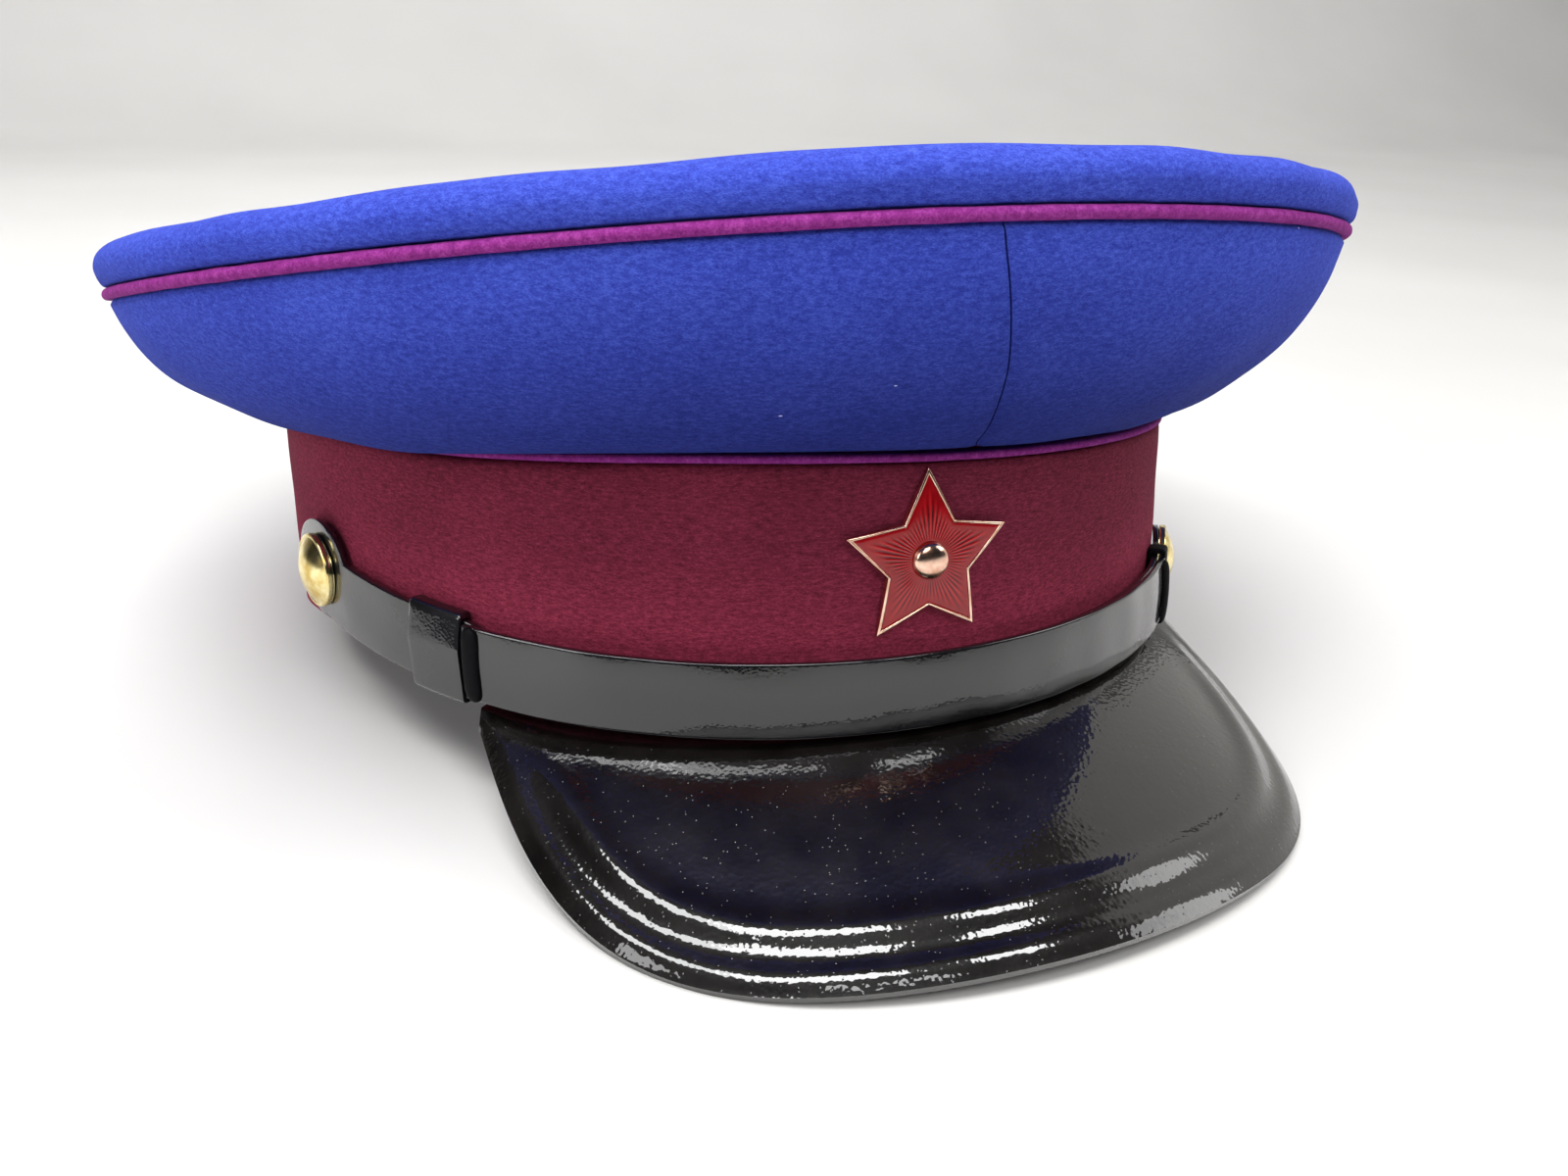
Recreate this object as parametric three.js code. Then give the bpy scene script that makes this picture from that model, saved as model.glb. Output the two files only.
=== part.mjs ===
// A peaked cap with a stiffened crown, resting on its peak and on the back of its band.
// Millimetres, +Z up. The front looks along -Y and +X is the wearer's left.
import * as THREE from 'three';

// Driving dimensions. Angles are degrees round the cap from the middle of the front.
const seamGap = 0.3;
const clothWall = 2;
const band = {
  halfWidth: 94.7, halfLength: 99.4, wall: 2.6,
  frontHeight: 46.7, backHeight: 38.5, frontRise: 3.4, lean: 1.5, seamArch: 0.35,
};
// The band's lower edge arches up at each side, most at the wearer's right.
const bandArches = [
  { angle: -74, lift: 6.5, width: 22 },
  { angle: 90, lift: 3, width: 24 },
];
const rim = {
  halfWidth: 123.2, halfLength: 129.2, centreY: -3.4,
  height: 73.8, frontSlope: 0.08, sideDroop: 4.8,
};
const bandWelt = { radius: 0.75, sides: 6 };
const crownCord = { radius: 1, sides: 8 };
const peak = {
  endAngle: 52.2, turn: 3.6, length: 49.8, frontDrop: 25.2, endDrop: 36.3, forward: 0.5,
  roundness: 5.5, taper: 1.43, bow: 1.6, wall: 2.2, lipWall: 1.2, tuck: 1.8,
};
const strap = {
  innerWidth: 13.5, outerWidth: 13.2, thickness: 1.2, standOff: 1.6, endRadius: 9.4,
  lowHeight: 6.6, lowAngle: 9, rise: 5.35, curl: 2.5,
};
// Each button's place round the band, and its height above the middle of the strap there.
const buttonSeats = {
  right: { angle: -71, rise: 2.2 },
  left: { angle: 52.5, rise: 0 },
};
const outerStrap = { from: -46.6, to: 43.9 };
const keeper = { wall: 1, clearance: 0.3 };
const keeperSpans = { right: [-53.6, -47], left: [44.3, 46.4] };
const button = { radius: 7, rimHeight: 2.2, domeHeight: 4.2, segments: 24 };
const badge = {
  tipRadius: 15.2, innerRatio: 0.46, plate: 1.1, rimWidth: 0.6, rimHeight: 0.9, height: 29.5,
};
const badgeBoss = { radius: 3.2, rise: 1.6 };
const columns = 64;
const pressDepth = 0.6;

// The crown's side from the band up to the cord: share of the overhang and share of the height.
const sideProfile = [
  { out: 0, up: 0 },
  { out: 0.27, up: 0.12 },
  { out: 0.5, up: 0.27 },
  { out: 0.7, up: 0.44 },
  { out: 0.84, up: 0.62 },
  { out: 0.94, up: 0.81 },
  { out: 1, up: 1 },
];
// The top panel from the cord inward: offset outward from the rim and height above it.
const rollProfile = [
  { out: 0, up: 1.3 },
  { out: 1.3, up: 3.1 },
  { out: 1.5, up: 5 },
  { out: 0.4, up: 7 },
  { out: -2.4, up: 8.5 },
  { out: -7, up: 9.1 },
];
const topRings = [
  { share: 0.84, up: 9 },
  { share: 0.6, up: 8.2 },
  { share: 0.3, up: 7.6 },
];
// The peak from band to lip: share of the way and rise of the embossed ridges.
const peakRows = [
  { along: 0.04, rise: 0 },
  { along: 0.3, rise: 0 },
  { along: 0.56, rise: 0 },
  { along: 0.66, rise: 0.1 },
  { along: 0.71, rise: 0.9 },
  { along: 0.76, rise: 0.2 },
  { along: 0.84, rise: 0.1 },
  { along: 0.89, rise: 0.9 },
  { along: 0.94, rise: 0.1 },
  { along: 0.985, rise: 0.3 },
  { along: 1, rise: -0.6 },
];

const rad = THREE.MathUtils.degToRad;
const deg = THREE.MathUtils.radToDeg;
const lerp = THREE.MathUtils.lerp;
const up = new THREE.Vector3(0, 0, 1);

function material(color, roughness, metalness = 0) {
  return new THREE.MeshStandardMaterial({ color, roughness, metalness });
}
const materials = {
  blueWool: () => material(0x3a47a8, 0.95),
  crimsonCord: () => material(0x9b2678, 0.9),
  maroonWool: () => material(0x742233, 0.95),
  patentLeather: () => material(0x101014, 0.15),
  brass: () => material(0xd9b45a, 0.25, 1),
  redEnamel: () => material(0xb3162c, 0.2),
};

// A closed solid from points and triangles, turned so that its faces look outward.
function solid(points, faces) {
  let volume = 0;
  for (let i = 0; i < faces.length; i += 3) {
    const [a, b, c] = [points[faces[i]], points[faces[i + 1]], points[faces[i + 2]]];
    volume += a.dot(new THREE.Vector3().crossVectors(b, c));
  }
  const geometry = new THREE.BufferGeometry().setFromPoints(points);
  geometry.setIndex(volume > 0 ? faces : faces.slice().reverse());
  geometry.computeVertexNormals();
  return geometry;
}

// Joins rings of equal length in order, and the last to the first where the row of rings is closed.
function bridgeRings(ringCount, size, closed, faces) {
  const spans = closed ? ringCount : ringCount - 1;
  for (let i = 0; i < spans; i += 1) {
    const here = i * size;
    const there = ((i + 1) % ringCount) * size;
    for (let j = 0; j < size; j += 1) {
      const k = (j + 1) % size;
      faces.push(here + j, there + j, there + k, here + j, there + k, here + k);
    }
  }
}

// A wall swept through sections. A section is its outer line and then its inner line backward.
function sweptWall(sections, closed) {
  const size = sections[0].length;
  const faces = [];
  bridgeRings(sections.length, size, closed, faces);
  if (!closed) {
    const last = (sections.length - 1) * size;
    for (let j = 0; j < size / 2 - 1; j += 1) {
      const [a, b, c, d] = [j, j + 1, size - 2 - j, size - 1 - j];
      faces.push(a, b, c, a, c, d);
      faces.push(last + a, last + c, last + b, last + a, last + d, last + c);
    }
  }
  return solid(sections.flat(), faces);
}

// A solid from rings between two end points.
function polarSolid(startPole, rings, endPole) {
  const size = rings[0].length;
  const faces = [];
  bridgeRings(rings.length, size, false, faces);
  const start = rings.length * size;
  const last = start - size;
  for (let j = 0; j < size; j += 1) {
    const k = (j + 1) % size;
    faces.push(start, j, k);
    faces.push(start + 1, last + k, last + j);
  }
  return solid([...rings.flat(), startPole, endPole], faces);
}

function anglesBetween(from, to, count) {
  return Array.from({ length: count + 1 }, (_, i) => lerp(from, to, i / count));
}
const fullTurn = anglesBetween(-180, 180, columns).slice(0, columns);

// A place on an oval seen from above, moved outward along its normal.
function ovalPlace(oval, angle, outward = 0) {
  const a = rad(angle);
  const normal = new THREE.Vector3(Math.sin(a) / oval.halfWidth, -Math.cos(a) / oval.halfLength, 0);
  normal.normalize();
  const place = new THREE.Vector3(oval.halfWidth * Math.sin(a), -oval.halfLength * Math.cos(a), 0);
  place.y += oval.centreY ?? 0;
  return { normal, place: place.addScaledVector(normal, outward) };
}
function bandPoint(angle, outward, z) {
  const { place } = ovalPlace(band, angle, outward);
  return place.setZ(z);
}

function bandFoot(angle) {
  return bandArches.reduce((sum, arch) => (
    sum + arch.lift * Math.exp(-(((angle - arch.angle) / arch.width) ** 2))
  ), 0);
}
// The seam of crown and band stands highest at the front, leans a little to the wearer's left
// and follows the arches of the lower edge by a share.
function seamHeight(angle) {
  const frontShare = ((1 + Math.cos(rad(angle))) / 2) ** band.frontRise;
  const level = lerp(band.backHeight, band.frontHeight, frontShare);
  return level - band.lean * Math.sin(rad(angle)) + band.seamArch * bandFoot(angle);
}
// The rim rises to the front and droops at the sides.
function rimHeight(x, y) {
  return rim.height - rim.frontSlope * y - rim.sideDroop * (x / rim.halfWidth) ** 2;
}
function rimPoint(angle, outward, rise) {
  const { place } = ovalPlace(rim, angle, outward);
  return place.setZ(rimHeight(place.x, place.y) + rise);
}

function bandWall() {
  const top = bandWelt.radius + seamGap;
  return sweptWall(fullTurn.map((angle) => {
    const height = seamHeight(angle) - top;
    const foot = bandFoot(angle);
    const levels = [foot, (foot + height) / 2, height];
    const outer = levels.map((z) => bandPoint(angle, 0, z));
    const inner = levels.map((z) => bandPoint(angle, -band.wall, z));
    return [...outer, ...inner.reverse()];
  }), true);
}

// A round cord with a flat tail inward, which is caught in the seam.
function cordSection(radius, sides, tail, pointAt) {
  const nose = anglesBetween(-90, 90, sides - 2);
  const section = nose.map((a) => pointAt(radius * Math.cos(rad(a)), radius * Math.sin(rad(a))));
  return [...section, pointAt(-tail, radius), pointAt(-tail, -radius)];
}
function bandWeltRing() {
  return sweptWall(fullTurn.map((angle) => cordSection(
    bandWelt.radius, bandWelt.sides, band.wall,
    (out, rise) => bandPoint(angle, out - 0.1, seamHeight(angle) + rise),
  )), true);
}
function crownCordRing() {
  return sweptWall(fullTurn.map((angle) => cordSection(
    crownCord.radius, crownCord.sides, clothWall,
    (out, rise) => rimPoint(angle, out - 0.1, rise),
  )), true);
}

// One half of the crown's side, a cloth wall that bellies out from the band to the cord.
function crownSide(fromSeam, toSeam) {
  const share = anglesBetween(0, 1, columns / 2);
  const weltTop = bandWelt.radius + seamGap;
  const cordFoot = crownCord.radius + seamGap;
  return sweptWall(share.map((s) => {
    const rows = sideProfile.map((row) => {
      const angle = lerp(fromSeam(row.up), toSeam(row.up), s);
      const low = bandPoint(angle, 0, seamHeight(angle) + weltTop);
      const high = rimPoint(angle, 0, -cordFoot);
      const point = low.clone().lerp(high, row.out);
      const outward = point.clone().setZ(0).normalize();
      return { point: point.setZ(lerp(low.z, high.z, row.up)), outward };
    });
    const inner = rows.map(({ point, outward }, i) => {
      const before = rows[Math.max(i - 1, 0)].point;
      const after = rows[Math.min(i + 1, rows.length - 1)].point;
      const along = after.clone().sub(before);
      const inward = outward.clone().multiplyScalar(-along.z);
      inward.addScaledVector(up, along.dot(outward)).normalize();
      const flatEnd = i === 0 || i === rows.length - 1;
      const depth = flatEnd ? outward.clone().negate() : inward;
      return point.clone().addScaledVector(depth, clothWall);
    });
    return [...rows.map((row) => row.point), ...inner.reverse()];
  }), false);
}

// The top panel: a rolled rim that runs into a nearly flat top, with the same wall below.
function crownTop() {
  const topPoint = (angle, share, rise) => {
    const { place } = ovalPlace(rim, angle, rollProfile.at(-1).out);
    place.multiplyScalar(share);
    return place.setZ(rimHeight(place.x, place.y) + rise);
  };
  const layer = (drop, inset) => [
    ...rollProfile.map((row, i) => fullTurn.map((angle) => {
      const sunk = i === 0 ? 0 : drop * (i / (rollProfile.length - 1));
      return rimPoint(angle, row.out - inset * (1 - i / rollProfile.length), row.up - sunk);
    })),
    ...topRings.map((row) => fullTurn.map((angle) => topPoint(angle, row.share, row.up - drop))),
  ];
  const rings = [...layer(clothWall, clothWall).reverse(), ...layer(0, 0)];
  const middle = rimHeight(0, 0) + topRings.at(-1).up;
  return polarSolid(new THREE.Vector3(0, 0, middle - clothWall), rings, new THREE.Vector3(0, 0, middle));
}

// The peak's lip lies at this distance from the band and drops at this slope.
function peakReach(share) {
  const u = Math.abs(share);
  return {
    length: peak.length * (1 - u ** peak.roundness) ** peak.taper,
    slope: rad(lerp(peak.frontDrop, peak.endDrop, u * u)),
  };
}
function peakSection(share) {
  const { normal, place } = ovalPlace(band, share * peak.endAngle);
  const ahead = normal.clone().lerp(new THREE.Vector3(0, -1, 0), peak.forward).normalize();
  const { length, slope } = peakReach(share);
  const foot = bandFoot(share * peak.endAngle + peak.turn) - seamGap;
  const across = ahead.clone().multiplyScalar(Math.sin(slope)).addScaledVector(up, Math.cos(slope));
  const rows = peakRows.map(({ along, rise }) => {
    const bow = 4 * peak.bow * along * (1 - along) * (length / peak.length);
    const point = place.clone().addScaledVector(ahead, length * along * Math.cos(slope));
    point.z = foot * (1 - along) - length * along * Math.sin(slope);
    return point.addScaledVector(across, bow + rise * (length / peak.length));
  });
  const root = place.clone().addScaledVector(normal, -peak.tuck).setZ(foot);
  const upper = [root, ...rows];
  const lower = [
    root.clone().setZ(root.z - peak.wall),
    ...rows.map((point, i) => (
      point.clone().addScaledVector(across, -lerp(peak.wall, peak.lipWall, peakRows[i].along))
    )),
  ];
  return [...upper, ...lower.reverse()].map((point) => point.applyAxisAngle(up, rad(peak.turn)));
}
const peakSections = anglesBetween(-0.97, 0.97, 44).map(peakSection);

// The strap hangs lowest near the front, and its rounded ends lie under the buttons.
function strapHeight(angle) {
  return strap.lowHeight + strap.rise * (Math.abs(angle - strap.lowAngle) / 60) ** strap.curl;
}
function strapSection(angle, outward, low, high) {
  const { thickness } = strap;
  return [
    bandPoint(angle, outward + thickness, low),
    bandPoint(angle, outward + thickness, high),
    bandPoint(angle, outward, high),
    bandPoint(angle, outward, low),
  ];
}
const buttonHeight = ({ angle, rise }) => strapHeight(angle) + rise;
function innerStrap() {
  const { right, left } = buttonSeats;
  const mean = (band.halfWidth + band.halfLength) / 2;
  const endAngle = deg(strap.endRadius / mean);
  const from = right.angle - endAngle * 0.98;
  const to = left.angle + endAngle * 0.98;
  const roundEnd = anglesBetween(0, 2 * endAngle, 12);
  const middle = anglesBetween(from + 2 * endAngle, to - 2 * endAngle, 36).slice(1, -1);
  const angles = [...roundEnd.map((a) => from + a), ...middle, ...roundEnd.map((a) => to - a).reverse()];
  return sweptWall(angles.map((angle) => {
    const apart = Math.min(angle - right.angle, left.angle - angle);
    const seat = buttonHeight(angle - right.angle < left.angle - angle ? right : left);
    const along = rad(Math.abs(apart)) * mean;
    const round = Math.sqrt(Math.max(strap.endRadius ** 2 - along ** 2, 0));
    const run = strapHeight(angle);
    const half = strap.innerWidth / 2;
    const lows = [...(round > 0 ? [seat - round] : []), ...(apart > 0 ? [run - half] : [])];
    const highs = [...(round > 0 ? [seat + round] : []), ...(apart > 0 ? [run + half] : [])];
    return strapSection(angle, strap.standOff, Math.min(...lows), Math.max(...highs));
  }), false);
}
const outerStandOff = strap.standOff + strap.thickness + seamGap;
function outerLayer() {
  const angles = anglesBetween(outerStrap.from, outerStrap.to, 40);
  const half = strap.outerWidth / 2;
  return sweptWall(angles.map((angle) => {
    const run = strapHeight(angle);
    return strapSection(angle, outerStandOff, run - half, run + half);
  }), false);
}

// A leather loop round the strap, hollow where the strap passes through.
function keeperLoop([from, to]) {
  const inside = keeper.clearance;
  const near = strap.standOff - inside - keeper.wall;
  const far = strap.standOff + strap.thickness + inside + keeper.wall;
  const tall = strap.innerWidth / 2 + inside + keeper.wall;
  const corners = (shrink) => [
    [near + shrink, -tall + shrink], [far - shrink, -tall + shrink],
    [far - shrink, tall - shrink], [near + shrink, tall - shrink],
  ];
  const point = (angle, [out, rise]) => bandPoint(angle, out, strapHeight(angle) + rise);
  const along = anglesBetween(from, to, 4);
  return sweptWall(corners(0).map((outer, i) => {
    const inner = corners(keeper.wall)[i];
    return [...along.map((a) => point(a, outer)), ...along.map((a) => point(a, inner)).reverse()];
  }), true);
}

// A round of points in a seated piece's own plane, whose +Z looks away from the cap.
function flatRing(radius, z, count) {
  return anglesBetween(0, 360, count).slice(0, count).map((a) => (
    new THREE.Vector3(radius * Math.cos(rad(a)), radius * Math.sin(rad(a)), z)
  ));
}
function domedButton() {
  const { radius, rimHeight, domeHeight, segments } = button;
  const dome = anglesBetween(0, 75, 5).map((a) => flatRing(
    (radius - 0.9) * Math.cos(rad(a)), rimHeight + (domeHeight - rimHeight) * Math.sin(rad(a)), segments,
  ));
  const rings = [
    flatRing(radius - 0.4, 0, segments),
    flatRing(radius, 0.5, segments),
    flatRing(radius, rimHeight, segments),
    flatRing(radius - 0.5, rimHeight + 0.3, segments),
    ...dome,
  ];
  return polarSolid(new THREE.Vector3(0, 0, 0), rings, new THREE.Vector3(0, 0, domeHeight));
}

// A five-pointed star with each edge in four steps, drawn in from its outline.
function starRing(inset, z) {
  const tip = badge.tipRadius - inset * 2.6;
  const notch = badge.tipRadius * badge.innerRatio - inset;
  const corners = anglesBetween(0, 360, 10).map((a, i) => {
    const radius = i % 2 === 0 ? tip : notch;
    return new THREE.Vector3(-radius * Math.sin(rad(a)), radius * Math.cos(rad(a)), z);
  });
  return anglesBetween(0, 39, 39).map((i) => (
    corners[Math.floor(i / 4)].clone().lerp(corners[Math.floor(i / 4) + 1], (i % 4) / 4)
  ));
}
function bossRing(radius, z) {
  return starRing(0, z).map((point) => point.setZ(0).setLength(radius).setZ(z));
}
function starBody() {
  const rimTop = badge.plate + badge.rimHeight;
  const bossTop = rimTop + badgeBoss.rise;
  const rings = [
    starRing(0, 0),
    starRing(0, rimTop),
    starRing(badge.rimWidth, rimTop),
    starRing(badge.rimWidth, badge.plate),
    bossRing(badgeBoss.radius, badge.plate),
    bossRing(badgeBoss.radius, rimTop + 0.5),
    bossRing(badgeBoss.radius * 0.6, bossTop - 0.4),
  ];
  return polarSolid(new THREE.Vector3(0, 0, 0), rings, new THREE.Vector3(0, 0, bossTop));
}
function starEnamel() {
  const fit = 0.2;
  const low = badge.plate + fit;
  const top = badge.plate + badge.rimHeight;
  const outer = starRing(badge.rimWidth + fit, 0);
  const inner = bossRing(badgeBoss.radius + fit, 0);
  return sweptWall(outer.map((point, i) => [
    point.clone().setZ(low), point.clone().setZ(top),
    inner[i].clone().setZ(top + 0.4), inner[i].clone().setZ(low),
  ]), true);
}

// A group seated on the band, with its own +Z looking outward.
function seatOnBand(angle, outward, z) {
  const { normal, place } = ovalPlace(band, angle, outward);
  const seat = new THREE.Group();
  seat.position.copy(place.setZ(z));
  seat.rotation.set(Math.PI / 2, 0, Math.atan2(normal.x, -normal.y), 'ZYX');
  return seat;
}

const cap = new THREE.Group();
function addPiece(name, geometry, finish, parent = cap) {
  const piece = new THREE.Mesh(geometry, finish());
  piece.name = name;
  parent.add(piece);
  return piece;
}

// The front seam leans as in the photo, and the back seam is upright.
const seamHalfGap = 0.08;
const frontSeam = (rise) => lerp(6.4, -2.7, rise ** 0.6);
const bandPiece = addPiece('band', bandWall(), materials.maroonWool);
addPiece('band_piping', bandWeltRing(), materials.crimsonCord);
const leftHalf = crownSide((rise) => frontSeam(rise) + seamHalfGap, () => 180 - seamHalfGap);
const rightHalf = crownSide(() => -180 + seamHalfGap, (rise) => frontSeam(rise) - seamHalfGap);
addPiece('crown_side_left', leftHalf, materials.blueWool);
addPiece('crown_side_right', rightHalf, materials.blueWool);
addPiece('crown_piping', crownCordRing(), materials.crimsonCord);
addPiece('crown_top', crownTop(), materials.blueWool);
const peakPiece = addPiece('peak', sweptWall(peakSections, false), materials.patentLeather);
addPiece('chin_strap', innerStrap(), materials.patentLeather);
addPiece('chin_strap_outer', outerLayer(), materials.patentLeather);
for (const [side, span] of Object.entries(keeperSpans)) {
  addPiece(`strap_keeper_${side}`, keeperLoop(span), materials.patentLeather);
}
for (const [side, place] of Object.entries(buttonSeats)) {
  const seat = seatOnBand(place.angle, outerStandOff, buttonHeight(place));
  addPiece(`button_${side}`, domedButton(), materials.brass, seat);
  cap.add(seat);
}
const badgeSeat = seatOnBand(0, seamGap, badge.height);
addPiece('badge_star', starBody(), materials.brass, badgeSeat);
addPiece('badge_enamel', starEnamel(), materials.redEnamel, badgeSeat);
cap.add(badgeSeat);

// The table's plane goes through the back of the band and the lowest place on each side of the peak.
const backFoot = new THREE.Vector3(0, band.halfLength, 0);
const lip = peakSections.flat();
function tableNormal() {
  const normal = up.clone();
  for (let round = 0; round < 4; round += 1) {
    const depth = (point) => point.clone().sub(backFoot).dot(normal);
    const lowest = (points) => points.reduce((a, b) => (depth(a) < depth(b) ? a : b));
    const right = lowest(lip.filter((point) => point.x < 0)).clone().sub(backFoot);
    const left = lowest(lip.filter((point) => point.x > 0)).clone().sub(backFoot);
    normal.crossVectors(right, left).normalize();
  }
  return normal;
}
cap.quaternion.setFromUnitVectors(tableNormal(), up);
cap.position.z = -pressDepth - backFoot.clone().applyQuaternion(cap.quaternion).z;
cap.updateMatrixWorld(true);

// Cloth and leather are pressed flat where the cap's weight rests on them.
function pressFlat(piece) {
  const places = piece.geometry.getAttribute('position');
  const point = new THREE.Vector3();
  for (let i = 0; i < places.count; i += 1) {
    piece.localToWorld(point.fromBufferAttribute(places, i));
    point.z = Math.max(point.z, 0);
    piece.worldToLocal(point);
    places.setXYZ(i, point.x, point.y, point.z);
  }
}
pressFlat(bandPiece);
pressFlat(peakPiece);

// The origin lies under the middle of the whole cap.
const whole = new THREE.Box3().setFromObject(cap, true);
const middle = whole.getCenter(new THREE.Vector3());
cap.position.x -= middle.x;
cap.position.y -= middle.y;

const peakedCap = new THREE.Group();
peakedCap.add(cap);
export default peakedCap;
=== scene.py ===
import math

import bpy
import numpy as np
from mathutils import Matrix, Vector


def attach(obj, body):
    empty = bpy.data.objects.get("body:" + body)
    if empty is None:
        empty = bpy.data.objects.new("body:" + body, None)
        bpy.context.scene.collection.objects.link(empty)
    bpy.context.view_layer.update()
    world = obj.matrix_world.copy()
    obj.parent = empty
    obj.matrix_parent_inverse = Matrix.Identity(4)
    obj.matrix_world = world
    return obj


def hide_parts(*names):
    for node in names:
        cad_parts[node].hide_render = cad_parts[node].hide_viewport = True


# A peaked cap of felted wool with a patent leather peak and strap, dressed over its solids.
# Sizes are millimetres in the cap's own frame: front along -Y, +X the wearer's left, +Z up the crown.
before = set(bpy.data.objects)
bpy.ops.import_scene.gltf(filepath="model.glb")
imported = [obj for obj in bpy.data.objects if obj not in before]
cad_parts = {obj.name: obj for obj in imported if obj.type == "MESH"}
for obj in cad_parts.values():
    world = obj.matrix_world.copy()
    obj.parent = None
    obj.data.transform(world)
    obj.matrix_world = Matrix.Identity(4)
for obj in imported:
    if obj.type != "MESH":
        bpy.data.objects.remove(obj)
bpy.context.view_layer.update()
mm = 0.001
print("frame loaded:", len(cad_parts), "solids")


# The band's walls stand along the cap's up axis, so that axis is the one direction no wall faces.
def findPlacing():
    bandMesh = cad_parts["band"].data
    walls = [face for face in bandMesh.polygons if abs(face.normal.z) < 0.5]
    facing = sum(face.area * np.outer(face.normal, face.normal) for face in walls)
    upAxis = Vector(np.linalg.eigh(facing)[1][:, 0])
    if upAxis.z < 0:
        upAxis.negate()
    turn = Vector((0, 0, 1)).rotation_difference(upAxis).to_matrix()
    corners = np.array([turn.transposed() @ vertex.co for vertex in bandMesh.vertices])
    low, high = corners.min(0), corners.max(0)
    foot = Vector(((low[0] + high[0]) / 2, (low[1] + high[1]) / 2, low[2]))
    return np.array(turn), np.array(turn @ foot)


capTurn, capFoot = findPlacing()


def lerp(a, b, share):
    return a + (b - a) * share


# A smooth line through a few points, in even steps from point to point.
def smoothLine(points, count):
    points = np.asarray(points, float)
    held = np.vstack([2 * points[0] - points[1], points, 2 * points[-1] - points[-2]])
    steps = np.linspace(0, len(points) - 1, count)
    i = np.minimum(steps.astype(int), len(points) - 2)
    f = (steps - i)[:, None]
    a, b, c, d = (held[i + k] for k in range(4))
    square, cube = 2 * a - 5 * b + 4 * c - d, 3 * b - a - 3 * c + d
    return 0.5 * (2 * b + (c - a) * f + square * f**2 + cube * f**3)


# Steps from 0 to 1 that crowd towards both ends.
def crowdedSteps(count):
    return (1 - np.cos(np.linspace(0, math.pi, count))) / 2


# How far a rounded edge falls back at a distance from the edge.
def edgeFall(distance, radius):
    inside = np.clip(radius - distance, 0, radius)
    return radius - np.sqrt(radius**2 - inside**2)


# Soft unevenness between about -1 and 1, from plane waves in seeded directions.
def unevenness(points, wavelengths, seed):
    rng = np.random.default_rng(seed)
    total = np.zeros(points.shape[:-1])
    for wavelength in wavelengths:
        for _ in range(6):
            way = rng.normal(size=3)
            way *= 2 * math.pi / (wavelength * np.linalg.norm(way))
            total += np.sin(points @ way + rng.uniform(0, 2 * math.pi))
    return total / (3 * math.sqrt(len(wavelengths)))


def gridNormals(grid, closed=False):
    if closed:
        wrapped = np.concatenate([grid[-1:], grid, grid[:1]])
        along = np.gradient(wrapped, axis=0)[1:-1]
    else:
        along = np.gradient(grid, axis=0)
    across = np.gradient(grid, axis=1)
    normals = np.cross(along, across)
    return normals / np.maximum(np.linalg.norm(normals, axis=2, keepdims=True), 1e-9)


# How far each point of a grid lies from the nearer end of its line.
def fromBothEnds(grid, axis):
    steps = np.diff(grid, axis=axis, prepend=grid.take([0], axis))
    run = np.linalg.norm(steps, axis=2).cumsum(axis)
    return np.minimum(run, run.take([-1], axis) - run)


# Faces between neighbouring rings of points.
def ringFaces(count, size, closed=False):
    faces = []
    for i in range(count if closed else count - 1):
        here, there = i * size, (i + 1) % count * size
        for j in range(size):
            k = (j + 1) % size
            faces.append((here + j, there + j, there + k, here + k))
    return faces


# Faces of a wall swept through sections. A section is its outer line and then its inner line backward.
def sweptFaces(count, size, closed):
    faces = ringFaces(count, size, closed)
    if not closed:
        last = (count - 1) * size
        for j in range(size // 2 - 1):
            ends = (j, j + 1, size - 2 - j, size - 1 - j)
            faces.append(ends)
            faces.append(tuple(last + corner for corner in reversed(ends)))
    return faces


# Faces of a solid of rings between two end points, which come last in its points.
def polarFaces(count, size):
    faces = ringFaces(count, size)
    start, last = count * size, (count - 1) * size
    for j in range(size):
        k = (j + 1) % size
        faces.append((start, j, k))
        faces.append((start + 1, last + k, last + j))
    return faces


# A piece in the shared frame, which stands for its solid and keeps to the table's side of it.
def makePiece(name, points, faces, finish, nodeName=None, marks=None):
    placed = np.asarray(points).reshape(-1, 3) * mm @ capTurn.T + capFoot
    placed[:, 2] = np.maximum(placed[:, 2], 0)
    triangles = [(face[0], face[k], face[k + 1]) for face in faces for k in range(1, len(face) - 1)]
    a, b, c = (placed[[corner[k] for corner in triangles]] for k in range(3))
    if np.einsum("ij,ij->", a, np.cross(b, c)) < 0:
        faces = [tuple(reversed(face)) for face in faces]
    mesh = bpy.data.meshes.new(name)
    mesh.from_pydata(placed.tolist(), [], faces)
    mesh.shade_smooth()
    mesh.set_sharp_from_angle(angle=math.radians(50))
    for markName, values in (marks or {}).items():
        mark = mesh.attributes.new(markName, "FLOAT", "POINT")
        mark.data.foreach_set("value", np.asarray(values, np.float32).ravel())
    mesh.materials.append(finish)
    piece = bpy.data.objects.new(name, mesh)
    bpy.context.scene.collection.objects.link(piece)
    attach(piece, "root")
    if nodeName:
        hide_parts(nodeName)
    print("piece made:", name, len(triangles), "triangles")


# Finishes. Pattern scales are one over a real size in metres.
def linear(hexCode):
    channels = [int(hexCode[i:i + 2], 16) / 255 for i in (1, 3, 5)]
    return tuple(c / 12.92 if c <= 0.04045 else ((c + 0.055) / 1.055) ** 2.4 for c in channels) + (1.0,)


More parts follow.
